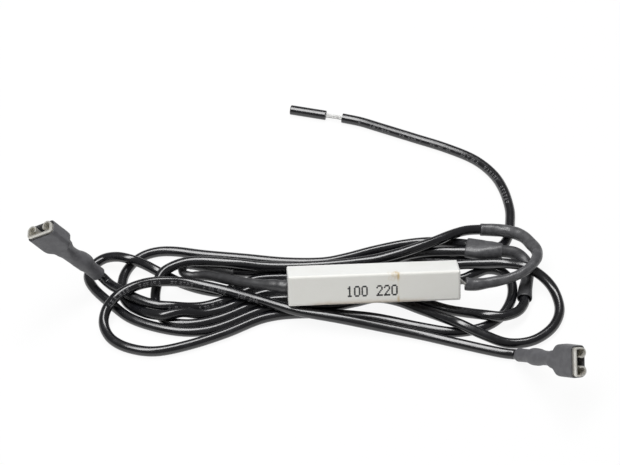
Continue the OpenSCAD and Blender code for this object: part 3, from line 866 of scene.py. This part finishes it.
@dataclass
class Sleeve:
    """Heat-shrink sleeve along a stretch of a route, with one pair of half sizes for each route point."""

    name: str
    route: Sequence[Point]
    sizes: Sequence[Span]
    node: str
    ripple: float = 0.02
    wide_rate: float = 3.1
    tall_rate: float = 5.3
    tall_start: float = 1.0
    steps: int = 6
    sides: int = 20

    def build(self, material: bpy.types.Material, slot: str) -> bpy.types.Object:
        """Makes the sleeve as a walled tube.

        Args:
            material: Finish of the sleeve.
            slot: Material slot of the record; not used.

        Returns:
            Object that replaces the sleeve's solid.
        """
        line = smooth_line(self.route, self.steps)
        bm = bmesh.new()
        rings = []
        for index, place in enumerate(line):
            along = line[min(index + 1, len(line) - 1)] - line[max(index - 1, 0)]
            side = side_of(along)
            share = index / self.steps
            wide, tall = (ease(sizes, share) for sizes in zip(*self.sizes))
            wide *= 1 + self.ripple * math.sin(self.wide_rate * share)
            tall *= 1 + self.ripple * math.sin(self.tall_rate * share + self.tall_start)
            along.normalize()
            seat = Matrix((side, along.cross(side), along)).transposed().to_4x4()
            seat.translation = place
            rings.append(add_ring(bm, seat, wide, tall, tall, self.sides))
        return finish_piece(skin_rings(self.name, bm, rings), material, self.node)


@dataclass
class ReceptacleSleeve:
    """Heat-shrink sleeve over a tab receptacle, drawn in round the neck and the crimps.

    A section is a station along the receptacle, a half width, a half height and a corner radius. The
    rim's stations count from the mouth. The grip and the neck are where the crimp ears lean.
    """

    name: str
    node: str
    place: Vector
    angles: Point
    slack: float = 0.0
    slack_end: float = 17.5
    slack_taper: float = 3.5
    ears: float = 0.0
    grip: float = 7.7
    neck: float = 13.4
    lean_reach: float = 2.9
    mouth: float = 27.1
    sides: int = 32
    sections: Sequence[tuple[float, float, float, float]] = (
        (0.0, 2.0, 2.0, 2.0), (0.25, 1.92, 1.92, 1.92), (2.5, 1.88, 1.88, 1.88), (5.0, 1.9, 1.9, 1.9),
        (5.7, 2.14, 2.1, 2.1), (6.4, 2.42, 2.32, 2.32), (8.0, 2.5, 2.37, 2.37), (9.8, 2.44, 2.33, 2.33),
        (10.8, 2.16, 2.14, 2.14), (12.0, 2.04, 2.04, 2.04), (14.0, 2.04, 2.04, 2.04),
        (15.2, 2.18, 2.12, 1.8), (16.2, 2.5, 2.25, 1.3), (17.5, 2.58, 2.28, 1.22), (18.3, 3.05, 2.28, 1.22),
        (19.0, 4.0, 2.28, 1.22), (19.7, 4.46, 2.28, 1.22), (21.5, 4.5, 2.3, 1.22), (24.3, 4.48, 2.28, 1.22),
    )
    rim: Sequence[tuple[float, float, float, float]] = ((-0.9, 4.46, 2.3, 1.23), (0.0, 4.48, 2.42, 1.28))

    def build(self, material: bpy.types.Material, slot: str) -> bpy.types.Object:
        """Makes the sleeve as a walled tube.

        Args:
            material: Finish of the sleeve.
            slot: Material slot of the record; not used.

        Returns:
            Object that replaces the sleeve's solid.
        """
        across = Matrix(((0, 0, 1), (1, 0, 0), (0, 1, 0))).to_4x4()
        matrix = receptacle_matrix(self.place, self.angles)
        rim = [(self.mouth + x, *sizes) for x, *sizes in self.rim]
        bm = bmesh.new()
        rings = []
        for x, wide, tall, corner in [*self.sections, *rim]:
            wide += self.slack * min(max((self.slack_end - x) / self.slack_taper, 0.0), 1.0)
            seat = matrix @ Matrix.Translation((x, self.ears * self.sway(x), 0.0)) @ across
            rings.append(add_ring(bm, seat, wide, tall, corner, self.sides))
        return finish_piece(skin_rings(self.name, bm, rings), material, self.node)

    def sway(self, x: float) -> float:
        """Gives the share of the ears' lean at a station: -1 at the grip and 1 at the neck."""
        toward = [max(0.0, 1.0 - ((x - middle) / self.lean_reach) ** 2) for middle in (self.grip, self.neck)]
        return toward[1] - toward[0]


@dataclass
class StrippedEnd:
    """Bare twisted strands at the end of the tail, with the cut piece of insulation on them.

    A strand's radius and its distance from the middle one are shares of its diameter, chosen so that the
    strands press into each other a little. The pinch draws them in over the first third.
    """

    place: Vector = field(default_factory=lambda: Vector(LEFT_ROUTE[-1]))
    twist: float = 50.0
    strands: int = 6
    strand_radius: float = 0.54
    strand_pitch: float = 0.94
    strand_points: int = 24
    pinch: float = 0.08
    pinch_rate: float = 3.2
    slug_bore: float = 0.66
    slug_ease: float = 0.12
    slug_land: float = 0.2
    slug_sides: int = 28

    def frame(self) -> Matrix:
        """Gives the transform that turns Z along the bare conductor, in millimetres."""
        return Matrix.Translation(self.place) @ TAIL_HEADING.to_track_quat("Z", "Y").to_matrix().to_4x4()

    def build_strands(self, material: bpy.types.Material) -> bpy.types.Object:
        """Makes the strands as twisted round bars.

        Args:
            material: Finish of the strands.

        Returns:
            Object that replaces the strands' solids.
        """
        matrix = self.frame()
        curve = bpy.data.curves.new("bare_strands", "CURVE")
        curve.dimensions = "3D"
        curve.bevel_depth = STRAND_DIAMETER * self.strand_radius * MM
        curve.bevel_resolution = 3
        curve.use_fill_caps = True
        for strand in range(self.strands + 1):
            radius = 0.0 if strand == self.strands else STRAND_DIAMETER * self.strand_pitch
            spline = curve.splines.new("POLY")
            spline.points.add(self.strand_points - 1)
            for index, point in enumerate(spline.points):
                share = index / (self.strand_points - 1)
                turn = math.radians(360 / self.strands * strand + self.twist * share)
                drawn_in = radius * (1 - self.pinch * math.sin(math.pi * min(share * self.pinch_rate, 1.0)))
                along = share * (BARE_LENGTH + SLUG_LENGTH)
                local = Vector((drawn_in * math.cos(turn), drawn_in * math.sin(turn), along))
                point.co = (*(matrix @ local * MM), 1.0)
        drawn = put_object("bare_strands_line", curve)
        bpy.context.view_layer.update()
        mesh = bpy.data.meshes.new_from_object(drawn.evaluated_get(bpy.context.evaluated_depsgraph_get()))
        bpy.data.objects.remove(drawn)
        piece = put_object("bare_strands", mesh)
        return finish_piece(piece, material, "stripped_conductor")

    def build_slug(self, material: bpy.types.Material) -> bpy.types.Object:
        """Makes the cut piece of insulation as a tube with soft ends.

        Args:
            material: Finish of the insulation.

        Returns:
            Object that replaces the piece's solid.
        """
        radius, bore, soft, land = WIRE_DIAMETER / 2, self.slug_bore, self.slug_ease, self.slug_land
        bm = bmesh.new()
        profile = [
            (bore, 0.0), (radius - soft, 0.0), (radius, soft), (radius, land),
            (radius, SLUG_LENGTH - land), (radius, SLUG_LENGTH - soft),
            (radius - soft, SLUG_LENGTH), (bore, SLUG_LENGTH),
        ]
        verts = [bm.verts.new((r, 0.0, BARE_LENGTH + z)) for r, z in profile]
        edges = [bm.edges.new(pair) for pair in zip(verts, [*verts[1:], verts[0]])]
        bmesh.ops.spin(bm, geom=[*verts, *edges], cent=(0, 0, 0), axis=(0, 0, 1), angle=2 * math.pi,
                       steps=self.slug_sides, use_merge=True)
        bmesh.ops.remove_doubles(bm, verts=bm.verts, dist=1e-4)
        bmesh.ops.recalc_face_normals(bm, faces=bm.faces)
        # A full spin leaves its faces in an order that varies by run, so they are sorted by place.
        in_order = sorted(bm.faces, key=lambda face: tuple(face.calc_center_median()))
        ranks = {face: rank for rank, face in enumerate(in_order)}
        bm.faces.sort(key=ranks.get)
        bmesh.ops.transform(bm, matrix=Matrix.Scale(MM, 4) @ self.frame(), verts=bm.verts)
        piece = mesh_piece("loose_insulation", bm)
        return finish_piece(piece, material, "insulation_slug")


@dataclass
class WornPrint:
    """Pale print along a stretch of wire, rubbed down to short dashes in words."""

    name: str
    stretch: Sequence[Point]
    facing: Point = (-0.1, -0.88, 0.45)
    dash: float = 0.85
    shortest: float = 0.3
    along_rate: float = 1.7
    across_rate: float = 2.3
    pitch: float = 1.25
    band: float = 0.3
    lift: float = 0.02
    word: int = 6
    word_gap: int = 2
    rows: Sequence[float] = (-19.0, 0.0, 19.0)

    def seats(self) -> list[tuple[Vector, Vector]]:
        """Steps along the stretch.

        Returns:
            Centre of the wire and its heading at each dash.
        """
        line = smooth_line(self.stretch, LINE_STEPS)
        found, due = [], self.pitch
        for a, b in zip(line, line[1:]):
            due -= (b - a).length
            if due <= 0:
                found.append((b, (b - a).normalized()))
                due += self.pitch
        return found

    def build(self, material: bpy.types.Material) -> bpy.types.Object:
        """Makes the dashes as thin patches on the insulation.

        Args:
            material: Print ink.

        Returns:
            Object that rides on the wire.
        """
        bm = bmesh.new()
        for count, (place, along) in enumerate(self.seats()):
            if count % (self.word + self.word_gap) >= self.word:
                continue
            front = Vector(self.facing)
            front = (front - along * front.dot(along)).normalized()
            for row, angle in enumerate(self.rows):
                out = Matrix.Rotation(math.radians(angle), 3, along) @ front
                wear = abs(math.sin(self.along_rate * count + self.across_rate * row))
                length = self.dash * (self.shortest + (1 - self.shortest) * wear)
                seat = Matrix((along * length, out.cross(along) * self.band, out)).transposed().to_4x4()
                seat.translation = place + out * (WIRE_DIAMETER / 2 + self.lift)
                bmesh.ops.create_grid(bm, x_segments=1, y_segments=1, size=0.5,
                                      matrix=Matrix.Scale(MM, 4) @ seat)
        return finish_piece(mesh_piece(self.name, bm), material)


@dataclass
class CaseMarking:
    """Plain numbers printed in dots on the marked face of the case."""

    text: str = "100 220"
    dot: float = 0.54
    dot_sides: int = 12
    row_pitch: float = 0.46
    column_pitch: float = 0.34
    digit_pitch: float = 2.12
    place: Span = (-0.7, -0.6)
    lift: float = 0.012
    shapes: dict[str, str] = field(default_factory=lambda: {
        "0": ".###. #...# #...# #...# #...# #...# .###.",
        "1": "..#.. .##.. ..#.. ..#.. ..#.. ..#.. .###.",
        "2": ".###. #...# ....# ...#. ..#.. .#... #####",
    })

    def dots(self) -> list[Span]:
        """Lists the dots of all the digits.

        Returns:
            Place of each dot along the face and up it, from the middle of the marking.
        """
        places = []
        for index, digit in enumerate(self.text):
            middle = (index - (len(self.text) - 1) / 2) * self.digit_pitch
            lines = self.shapes.get(digit, "").split()
            for row, line in enumerate(lines):
                rise = (len(lines) // 2 - row) * self.row_pitch
                places += [(middle + (column - len(line) // 2) * self.column_pitch, rise)
                           for column, mark in enumerate(line) if mark == "#"]
        return places

    def build(self, material: bpy.types.Material) -> bpy.types.Object:
        """Makes the numbers as thin ink dots on the face.

        Args:
            material: Marking ink.

        Returns:
            Object that rides on the case.
        """
        bm = bmesh.new()
        for along, rise in self.dots():
            bmesh.ops.create_circle(bm, cap_ends=True, segments=self.dot_sides, radius=self.dot / 2,
                                    matrix=Matrix.Translation((along, rise, 0.0)))
        bmesh.ops.reverse_faces(bm, faces=[face for face in bm.faces if face.normal.z < 0])
        along, rise = self.place
        upright = Matrix.Rotation(math.radians(90.0), 4, "X")
        set_on = Matrix.Translation((along, -CASE_DEPTH / 2 - self.lift, rise))
        lean = Matrix.Rotation(math.radians(-CASE_LEAN), 4, "X")
        bmesh.ops.transform(bm, matrix=Matrix.Scale(MM, 4) @ lean @ set_on @ upright, verts=bm.verts)
        return finish_piece(mesh_piece("case_numbers", bm), material)


@dataclass(frozen=True)
class PhotoCamera:
    """Camera at the photograph's viewing angle, solved from the corners of the case."""

    elevation: float = 45.0
    azimuth: float = -3.0
    distance: float = 800.0
    focal_pixels: float = 2810.0
    across: float = -18.03
    upwards: float = 14.37
    sensor: float = 36.0
    clip: Span = (0.05, 20.0)

    def build(self) -> bpy.types.Object:
        """Makes the camera and sets it as the scene's own.

        Returns:
            Camera object.
        """
        e, a = math.radians(self.elevation), math.radians(self.azimuth)
        back = Vector((math.sin(a) * math.cos(e), -math.cos(a) * math.cos(e), math.sin(e)))
        right = Vector((math.cos(a), math.sin(a), 0.0))
        up = back.cross(right)
        place = (right * self.across + up * self.upwards + back * self.distance) * MM
        data = bpy.data.cameras.new("photo_camera")
        data.sensor_fit = "HORIZONTAL"
        data.sensor_width = self.sensor
        data.lens = self.sensor * self.focal_pixels / IMAGE_WIDTH
        data.clip_start, data.clip_end = self.clip
        camera = put_object("photo_camera", data)
        camera.matrix_world = Matrix.Translation(place) @ Matrix((right, up, back)).transposed().to_4x4()
        bpy.context.scene.camera = camera
        return camera


@dataclass(frozen=True)
class Studio:
    """White table, one soft lamp overhead and even light from the room, in metres and watts."""

    floor_size: float = 20.0
    table_white: float = 0.9
    table_rough: float = 0.9
    table_shine: float = 0.1
    shadow_share: float = 0.08
    lamp_place: Point = (-0.12, 0.08, 0.9)
    lamp_size: Span = (1.2, 0.3)
    lamp_power: float = 10.7
    room_light: float = 0.18

    def build(self) -> None:
        """Makes the table, the lamp and the world."""
        self.table()
        self.lamp()
        self.world()
        bpy.context.scene.view_settings.view_transform = "Standard"

    def table(self) -> None:
        """Makes the floor, which shows white and keeps a faint shadow."""
        bm = bmesh.new()
        bmesh.ops.create_grid(bm, x_segments=1, y_segments=1, size=self.floor_size / 2)
        bmesh.ops.translate(bm, verts=bm.verts, vec=(0.0, 0.0, FLOOR_LEVEL * MM))
        floor = mesh_piece("table_top", bm)
        board = NodeBoard("white_table")
        board.paint("Base Color", (self.table_white, self.table_white, self.table_white, 1.0))
        board.paint("Roughness", self.table_rough)
        board.paint("Specular IOR Level", self.table_shine)
        glow = board.add("ShaderNodeEmission")
        glow.inputs["Strength"].default_value = 1.0
        mix = board.add("ShaderNodeMixShader")
        rays = board.add("ShaderNodeLightPath")
        seen = board.math("MAXIMUM", rays.outputs["Is Camera Ray"], board.math(
            "MAXIMUM", rays.outputs["Is Glossy Ray"], rays.outputs["Is Transmission Ray"]))
        board.link(board.times(seen, 1.0 - self.shadow_share), mix.inputs["Fac"])
        board.link(board.shader.outputs["BSDF"], mix.inputs[1])
        board.link(glow.outputs["Emission"], mix.inputs[2])
        board.link(mix.outputs["Shader"], board.output.inputs["Surface"])
        floor.data.materials.append(board.material)
        floor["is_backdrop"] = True

    def lamp(self) -> None:
        """Hangs one soft rectangular lamp that faces the case."""
        data = bpy.data.lights.new("overhead_strip", "AREA")
        data.shape = "RECTANGLE"
        data.size, data.size_y = self.lamp_size
        data.energy = self.lamp_power
        lamp = put_object("overhead_strip", data)
        lamp.location = self.lamp_place
        lamp.rotation_euler = (-Vector(self.lamp_place)).to_track_quat("-Z", "Y").to_euler()

    def world(self) -> None:
        """Lights the room evenly."""
        world = bpy.data.worlds.new("white_room")
        bpy.context.scene.world = world
        world.use_nodes = True
        nodes, links = world.node_tree.nodes, world.node_tree.links
        nodes.clear()
        output = nodes.new("ShaderNodeOutputWorld")
        even = nodes.new("ShaderNodeBackground")
        even.inputs["Color"].default_value = (1.0, 1.0, 1.0, 1.0)
        even.inputs["Strength"].default_value = self.room_light
        links.new(even.outputs["Background"], output.inputs["Surface"])


@dataclass
class Loom:
    """The wires, leads and sleeves of the folded loom, with the stripped end and the worn print.

    A sleeve's sizes are its half width and half height at each point of its route.
    """

    frame: dict
    finishes: Finishes
    right_sizes: Sequence[Span] = (
        (1.92, 1.9), (1.82, 1.8), (1.62, 1.6), (1.46, 1.44), (1.4, 1.4), (1.42, 1.38), (1.46, 1.36),
        (1.6, 1.32), (1.8, 1.3), (1.92, 1.32), (1.9, 1.62), (1.88, 1.84), (1.88, 1.86), (1.86, 1.86),
        (1.9, 1.9),
    )
    left_sizes: Sequence[Span] = (
        (1.85, 1.8), (1.8, 1.74), (1.72, 1.66), (1.5, 1.46), (1.5, 1.44), (1.46, 1.42), (1.4, 1.38),
        (1.3, 1.3), (1.22, 1.2), (1.2, 1.2), (1.2, 1.2), (1.22, 1.2), (1.75, 1.72), (1.87, 1.87),
        (1.87, 1.87), (1.88, 1.88),
    )
    junction_sizes: Sequence[Span] = ((2.22, 1.87), (2.08, 1.87), *[(1.87, 1.87)] * 5)
    boot_sizes: Sequence[Span] = ((3.38, 1.92), (3.34, 1.9), (2.95, 2.2), (2.36, 2.34))

    def __post_init__(self) -> None:
        """Plans the four wires."""
        self.link = Cord("link_cord", RIGHT_ROUTE[RIGHT_WIRE:], WIRE_DIAMETER, "link_wire")
        self.tail = Cord("tail_cord", LEFT_ROUTE[LEFT_WIRE:], WIRE_DIAMETER, "tail_wire")
        self.right = Cord("right_terminal_cord", RIGHT_TERMINAL_ROUTE, WIRE_DIAMETER, "right_terminal_wire")
        self.left = Cord("left_terminal_cord", LEFT_TERMINAL_ROUTE, WIRE_DIAMETER, "left_terminal_wire")

    def build(self) -> None:
        for cord in (self.link, self.tail, self.right, self.left):
            cord.build(self.finishes.vinyl, "wire_insulation")
        self.leads()
        right_sleeve, left_sleeve = self.right_sleeve(), self.left_sleeve()
        junction = [self.junction_sleeve(), self.junction_boot()]
        covers = [
            ReceptacleSleeve("right_receptacle_cover", "terminal_sleeve_right", RIGHT_PLACE, RIGHT_ANGLES),
            ReceptacleSleeve("left_receptacle_cover", "terminal_sleeve_left", LEFT_PLACE, LEFT_ANGLES,
                             slack=0.3, ears=0.42, mouth=27.45),
        ]
        right_cover, left_cover = (cover.build(self.finishes.pale_sleeve, "pale_sleeve") for cover in covers)
        end = StrippedEnd()
        strands = end.build_strands(self.finishes.strand)
        slug = end.build_slug(self.finishes.vinyl)
        prints = [
            WornPrint("right_print", RIGHT_TERMINAL_ROUTE[RIGHT_PRINT]),
            WornPrint("left_print", LEFT_TERMINAL_ROUTE[LEFT_PRINT]),
            WornPrint("tail_print", LEFT_ROUTE[TAIL_PRINT]),
        ]
        right_print, left_print, tail_print = (worn.build(self.finishes.worn_print) for worn in prints)
        node = self.frame["nodes"]
        self.link.declare(FarEnd.FITTING,
                          [right_sleeve, node["splice_ferrule_right"], node["junction_crimp"], *junction])
        self.right.declare(FarEnd.CONNECTOR, [node["terminal_right"], right_cover, right_print])
        self.left.declare(FarEnd.CONNECTOR, [node["terminal_left"], left_cover, left_print])
        self.tail.declare(FarEnd.BARE, [left_sleeve, node["splice_ferrule_left"], strands, slug, tail_print])

    def leads(self) -> None:
        """Makes the solid leads from the end caps to the ferrules."""
        for name, sign, route, node in (
                ("left_lead_bar", -1, LEFT_ROUTE[:LEFT_FERRULE + 1], "lead_left"),
                ("right_lead_bar", 1, RIGHT_ROUTE[:RIGHT_FERRULE + 1], "lead_right")):
            inside = [(sign * LEAD_START, 0, 0), (sign * LEAD_KNOT, 0, 0)]
            lead = Cord(name, [*inside, *route], LEAD_DIAMETER, node)
            lead.build(self.finishes.tinned_lead, "tinned_lead")

    def right_sleeve(self) -> bpy.types.Object:
        """Makes the sleeve over the right lead, slim on the lead and full on the ferrule and wire.

        Returns:
            Sleeve object.
        """
        route = RIGHT_ROUTE[1:RIGHT_SLEEVE_END + 1]
        sleeve = Sleeve("right_lead_cover", route, self.right_sizes, "lead_sleeve_right", ripple=0.03)
        return sleeve.build(self.finishes.mid_sleeve, "grey_sleeve")

    def left_sleeve(self) -> bpy.types.Object:
        """Makes the sleeve over the left lead, which starts square to the case.

        Returns:
            Sleeve object.
        """
        start = -CASE_LENGTH / 2 - LEFT_SLEEVE_GAP
        square = [(start, 0.05, 0), (start - LEFT_SLEEVE_SQUARE, 0.08, 0)]
        route = [*square, *LEFT_ROUTE[2:LEFT_SLEEVE_END + 1]]
        sleeve = Sleeve("left_lead_cover", route, self.left_sizes, "lead_sleeve_left", ripple=0.04)
        return sleeve.build(self.finishes.black_sleeve, "black_sleeve")

    def junction_sleeve(self) -> bpy.types.Object:
        """Makes the round sleeve over the end of the link wire.

        Returns:
            Sleeve object.
        """
        route = RIGHT_ROUTE[-len(self.junction_sizes):]
        sleeve = Sleeve("junction_cover", route, self.junction_sizes, "junction_sleeve")
        return sleeve.build(self.finishes.grey_sleeve, "grey_sleeve")

    def junction_boot(self) -> bpy.types.Object:
        """Makes the flat boot over the two terminal wires and the crimp.

        Returns:
            Sleeve object.
        """
        sleeve = Sleeve("junction_hood", BOOT_ROUTE, self.boot_sizes, "junction_boot", ripple=0.012)
        return sleeve.build(self.finishes.mid_sleeve, "pale_sleeve")


def dress_solids(frame: dict, finishes: Finishes) -> None:
    """Gives each solid that stays its finish.

    Args:
        frame: The loaded frame.
        finishes: Finishes of the part.
    """
    table = {
        "ceramic_case": finishes.ceramic, "cement_fill": finishes.cement, "core_rod": finishes.ceramic,
        "resistance_winding": finishes.alloy, "end_cap_left": finishes.tinned_lead,
        "end_cap_right": finishes.tinned_lead, "splice_ferrule_left": finishes.tinned_brass,
        "splice_ferrule_right": finishes.tinned_brass, "junction_crimp": finishes.tinned_brass,
        "terminal_left": finishes.tinned_brass, "terminal_right": finishes.tinned_brass,
    }
    for node, material in table.items():
        solid = frame["nodes"][node]
        solid.data.materials.clear()
        solid.data.materials.append(material)
        LOG.info("dressed %s with %s", node, material.name)


def box_list(box: Callable[[], object]) -> list[list[float]]:
    """Reads a box, from the function that gives its lowest and highest corner, as plain numbers."""
    return [[float(value) for value in corner] for corner in box()]


def main() -> None:
    """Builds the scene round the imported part."""
    logging.basicConfig(level=logging.INFO)
    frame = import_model()
    solid_box = box_list(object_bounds)
    PhotoCamera().build()
    finishes = Finishes()
    Loom(frame, finishes).build()
    dress_solids(frame, finishes)
    CaseMarking().build(finishes.ink)
    Studio().build()
    bpy.context.view_layer.update()
    json.dumps({"cad": solid_box, "visual": box_list(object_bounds)})
    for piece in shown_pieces():
        LOG.info("piece %s", piece.name)


if __name__ == "__main__":
    main()
